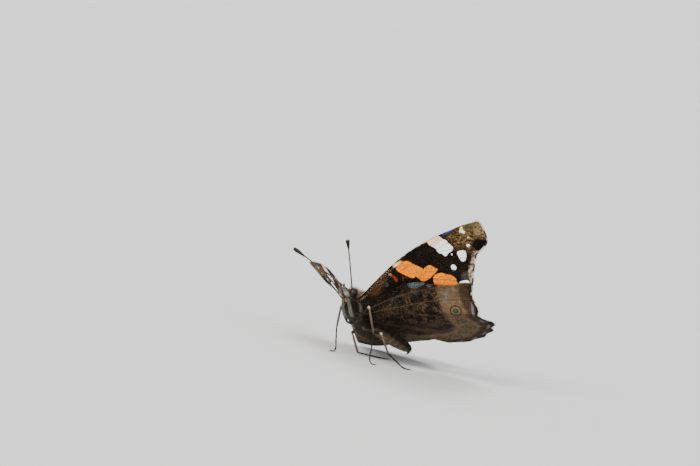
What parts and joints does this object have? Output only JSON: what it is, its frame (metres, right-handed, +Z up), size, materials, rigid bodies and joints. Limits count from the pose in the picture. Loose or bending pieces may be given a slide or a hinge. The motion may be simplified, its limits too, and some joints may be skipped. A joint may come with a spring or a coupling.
{
  "type": "red admiral butterfly",
  "caption": "Life-size red admiral butterfly (Vanessa atalanta) standing with half-raised wings, as a still museum model.",
  "frame": {"origin": "under the centre of the bounding box, on the plane that the feet stand on", "axes": "+Z up from the floor; the head points along -Y and the animal's left side is towards +X"},
  "size_m": [0.058, 0.039, 0.0325],
  "materials": {
    "fur": "matte",
    "abdomen": "matte",
    "eye": "gloss",
    "feeler": "satin",
    "palp": "matte",
    "tongue": "satin",
    "leg": "matte",
    "forewing": "matte",
    "hindwing": "matte"
  },
  "bodies": {
    "root": {"thorax": "fur", "abdomen": "abdomen", "head": "fur", "eye_left": "eye", "eye_right": "eye", "antenna_left": "feeler", "antenna_right": "feeler", "palp_left": "palp", "palp_right": "palp", "proboscis": "tongue", "foreleg_left": "palp", "foreleg_right": "palp", "midleg_left": "leg", "midleg_right": "leg", "hindleg_left": "leg", "hindleg_right": "leg", "forewing_left": "forewing", "forewing_right": "forewing", "hindwing_left": "hindwing", "hindwing_right": "hindwing"}
  },
  "joints": []
}
